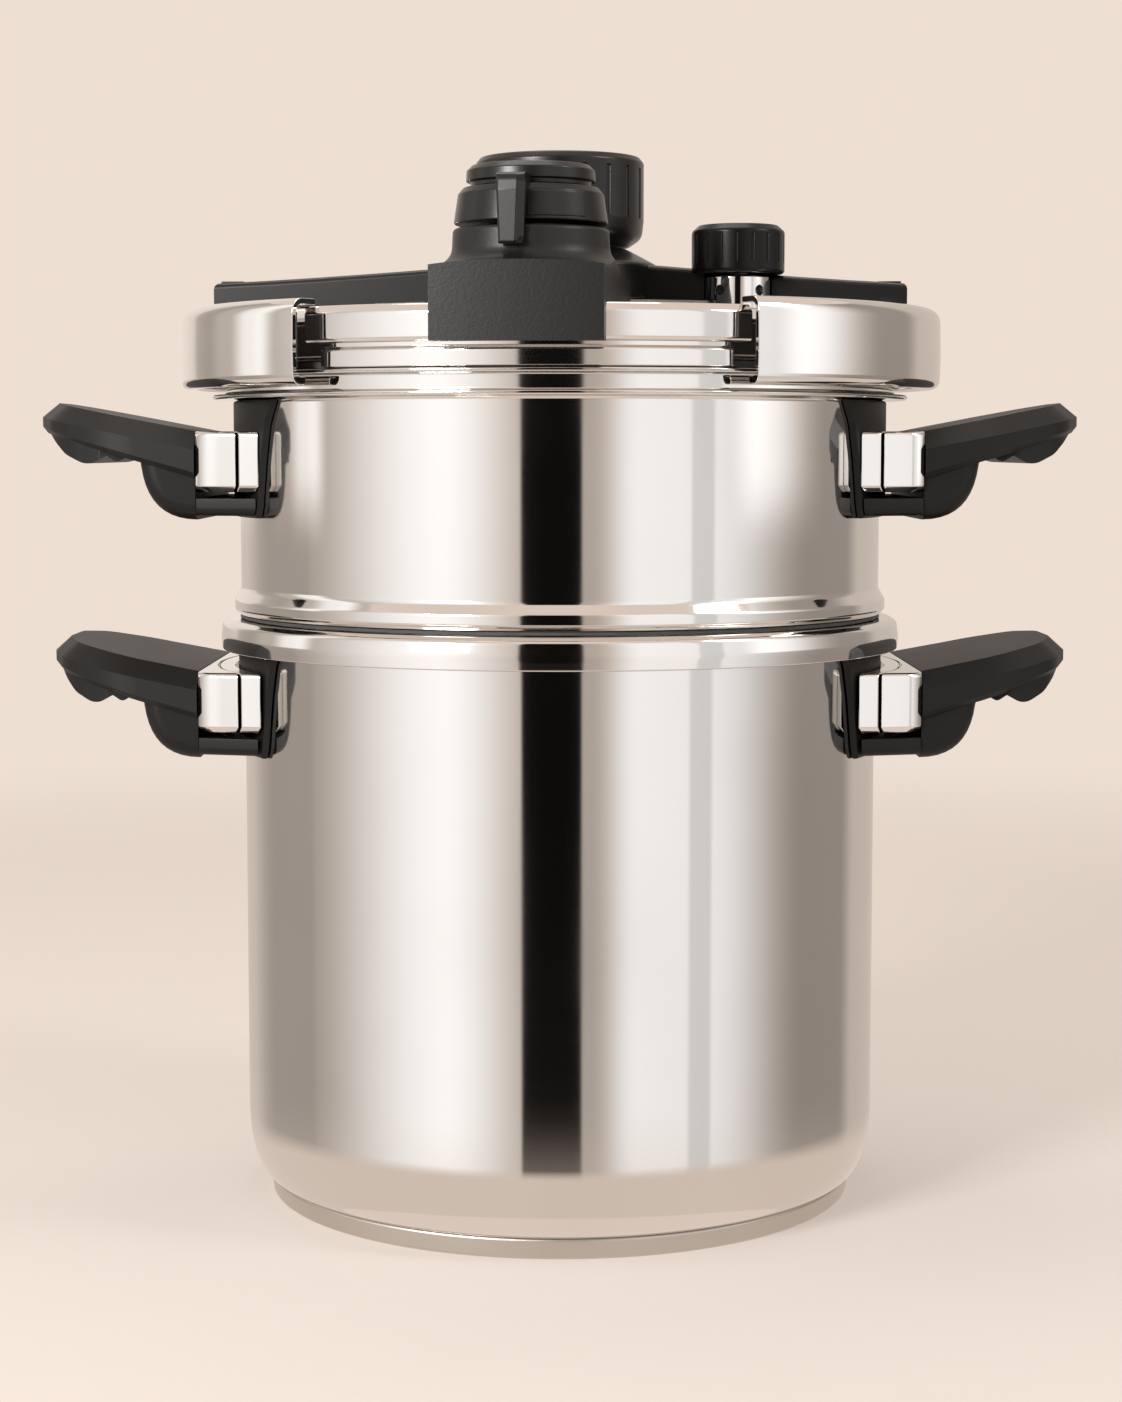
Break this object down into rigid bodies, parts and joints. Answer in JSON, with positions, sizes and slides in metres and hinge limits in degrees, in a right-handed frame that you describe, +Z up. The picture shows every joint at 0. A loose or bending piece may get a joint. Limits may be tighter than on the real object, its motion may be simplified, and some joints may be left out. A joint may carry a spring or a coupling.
{
  "type": "pressure canner",
  "caption": "Two-tier stainless pressure canner with side handles, and a lid locked by two sliding jaws that a central knob draws together.",
  "frame": {"origin": "on the pot's axis, at the underside of the base disc", "axes": "+Z up the pot's axis, -Y to the front with the selector, +X to the right-hand handles"},
  "size_m": [0.394, 0.2696, 0.392],
  "materials": {
    "polished_steel": "mirror polished stainless steel",
    "satin_steel": "satin stainless steel",
    "black_phenolic": "fine-grained satin black phenolic",
    "brass": "turned brass",
    "silicone": "matt dark silicone"
  },
  "bodies": {
    "lower_pot": {"lower_pot_shell": "polished_steel", "base_disc": "satin_steel", "lower_handle_left_shield": "black_phenolic", "lower_handle_left_stud": "satin_steel", "lower_handle_left_ferrule": "polished_steel", "lower_handle_left_grip": "black_phenolic", "lower_handle_right_shield": "black_phenolic", "lower_handle_right_stud": "satin_steel", "lower_handle_right_ferrule": "polished_steel", "lower_handle_right_grip": "black_phenolic"},
    "canning_rack": {"canning_rack": "satin_steel"},
    "upper_tier": {"upper_pot_shell": "polished_steel", "tier_gasket": "silicone", "upper_handle_left_shield": "black_phenolic", "upper_handle_left_stud": "satin_steel", "upper_handle_left_ferrule": "polished_steel", "upper_handle_left_grip": "black_phenolic", "upper_handle_right_shield": "black_phenolic", "upper_handle_right_stud": "satin_steel", "upper_handle_right_ferrule": "polished_steel", "upper_handle_right_grip": "black_phenolic"},
    "steam_tray": {"steam_tray": "satin_steel"},
    "lid": {"lid_shell": "polished_steel", "lid_gasket": "silicone", "lid_band_front": "polished_steel", "lid_band_rear": "polished_steel", "bridge_arms": "black_phenolic", "front_housing": "black_phenolic", "spindle_bush": "brass", "slide_guide_left": "satin_steel", "slide_guide_right": "satin_steel", "bridge_post_front": "satin_steel", "bridge_post_rear": "satin_steel", "bridge_screw_front": "satin_steel", "bridge_screw_rear": "satin_steel", "vent_pipe": "brass", "vent_nut": "brass", "regulator_stem": "polished_steel", "regulator_nut": "brass", "indicator_seal": "silicone", "safety_valve": "brass", "safety_nut": "brass"},
    "main_knob": {"main_knob": "black_phenolic", "knob_spindle": "satin_steel"},
    "jaw_left": {"jaw_left": "polished_steel", "jaw_rack_left": "satin_steel"},
    "jaw_right": {"jaw_right": "polished_steel", "jaw_rack_right": "satin_steel"},
    "selector": {"selector_ring": "black_phenolic", "selector_cap": "black_phenolic", "vent_spring": "satin_steel"},
    "vent_plunger": {"vent_plunger": "satin_steel"},
    "regulator_cap": {"regulator_cap": "black_phenolic"},
    "indicator_pin": {"indicator_pin": "satin_steel"}
  },
  "joints": [
    {"name": "upper_tier_lift", "type": "slide", "parent": "lower_pot", "child": "upper_tier", "axis": [0, 0, 1], "range_m": [0, 0.12]},
    {"name": "rack_lift", "type": "slide", "parent": "lower_pot", "child": "canning_rack", "axis": [0, 0, 1], "range_m": [0, 0.15]},
    {"name": "tray_lift", "type": "slide", "parent": "upper_tier", "child": "steam_tray", "axis": [0, 0, 1], "range_m": [0, 0.085]},
    {"name": "lid_lift", "type": "slide", "parent": "upper_tier", "child": "lid", "axis": [0, 0, 1], "range_m": [0, 0.1]},
    {"name": "knob_turn", "type": "hinge", "parent": "lid", "child": "main_knob", "pos_m": [0, 0, 0.3586], "axis": [0, 0, -1], "range_deg": [0, 90]},
    {"name": "jaw_left_slide", "type": "slide", "parent": "lid", "child": "jaw_left", "axis": [0.9942, -0.108, 0], "range_m": [0, 0.0092]},
    {"name": "jaw_right_slide", "type": "slide", "parent": "lid", "child": "jaw_right", "axis": [-0.9942, 0.108, 0], "range_m": [0, 0.0092]},
    {"name": "selector_turn", "type": "hinge", "parent": "lid", "child": "selector", "pos_m": [-0.00994, -0.09146, 0.359], "axis": [0, 0, 1], "range_deg": [-40, 80]},
    {"name": "vent_plunger_lift", "type": "slide", "parent": "lid", "child": "vent_plunger", "axis": [0, 0, 1], "range_m": [0, 0.0015], "stiffness_N_per_m": 400, "springref_m": -0.002},
    {"name": "regulator_lift", "type": "slide", "parent": "lid", "child": "regulator_cap", "axis": [0, 0, 1], "range_m": [0, 0.004]},
    {"name": "indicator_rise", "type": "slide", "parent": "lid", "child": "indicator_pin", "axis": [0, 0, 1], "range_m": [0, 0.004]}
  ],
  "couplings": [
    {"joint": "jaw_left_slide", "follows": "knob_turn", "m_per_rad": 0.0058569},
    {"joint": "jaw_right_slide", "follows": "knob_turn", "m_per_rad": 0.0058569}
  ]
}
